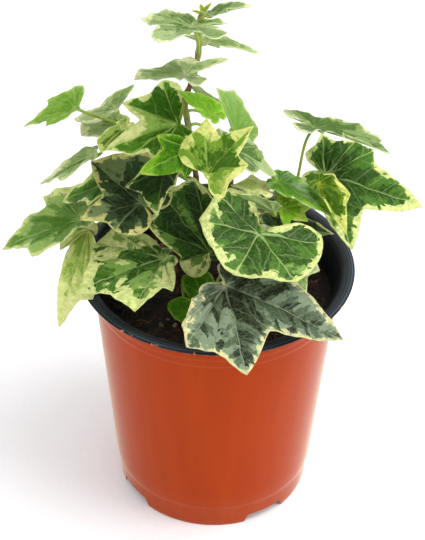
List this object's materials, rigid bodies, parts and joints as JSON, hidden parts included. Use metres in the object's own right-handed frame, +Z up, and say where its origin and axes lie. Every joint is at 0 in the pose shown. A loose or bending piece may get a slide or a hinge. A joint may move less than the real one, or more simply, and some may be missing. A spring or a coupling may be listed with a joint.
{
  "type": "potted variegated ivy",
  "caption": "Variegated ivy with lobed, cream-edged leaves on thin stems that rise and spread from soil in a round tapered nursery pot.",
  "frame": {"origin": "centre of the pot's base, on the surface that it stands on", "axes": "+Z up along the pot's axis, -Y toward the front of the plant, where the large two-tone leaf hangs over the rim"},
  "size_m": [0.18, 0.1623, 0.2521],
  "materials": {
    "pot": "satin thermoformed polypropylene, terracotta outside and black inside",
    "soil": "damp peat and bark potting mix",
    "stem": "thin reddish-brown to olive bark",
    "leaf": "leathery satin leaf, green and grey-green patches with cream edges"
  },
  "bodies": {
    "root": {"pot": "pot", "soil": "soil", "stem_main": "stem", "stem_left": "stem", "stem_front": "stem", "stem_right": "stem", "stem_back": "stem", "leaf_top_left": "leaf", "leaf_top_right": "leaf", "leaf_upper_right": "leaf", "leaf_upper_left": "leaf", "leaf_crown_left": "leaf", "leaf_lime_centre": "leaf", "leaf_folded": "leaf", "leaf_crown_back": "leaf", "leaf_lime_crown": "leaf", "leaf_crown_edge": "leaf", "leaf_mid_right": "leaf", "leaf_dark_left": "leaf", "leaf_dark_hanging": "leaf", "leaf_dark_upright": "leaf", "leaf_heart": "leaf", "leaf_front_large": "leaf", "leaf_under_heart": "leaf", "leaf_cream_edged": "leaf", "leaf_pale_hanging": "leaf", "leaf_far_left": "leaf", "leaf_left_small": "leaf", "leaf_left_narrow": "leaf", "leaf_outer_left": "leaf", "leaf_left_fold": "leaf", "leaf_left_back": "leaf", "leaf_pale_curl": "leaf", "leaf_glossy": "leaf", "leaf_lime_right": "leaf", "leaf_right_upper": "leaf", "leaf_right_large": "leaf", "leaf_right_curled": "leaf", "leaf_round_a": "leaf", "leaf_round_b": "leaf", "leaf_lime_strip": "leaf", "leaf_cream_mid": "leaf", "leaf_grey_mid": "leaf", "leaf_back_low": "leaf", "leaf_back_left": "leaf", "leaf_back_right": "leaf", "leaf_back_mid": "leaf", "leaf_back_low_left": "leaf", "leaf_back_low_right": "leaf", "leaf_back_upper": "leaf"}
  },
  "joints": []
}
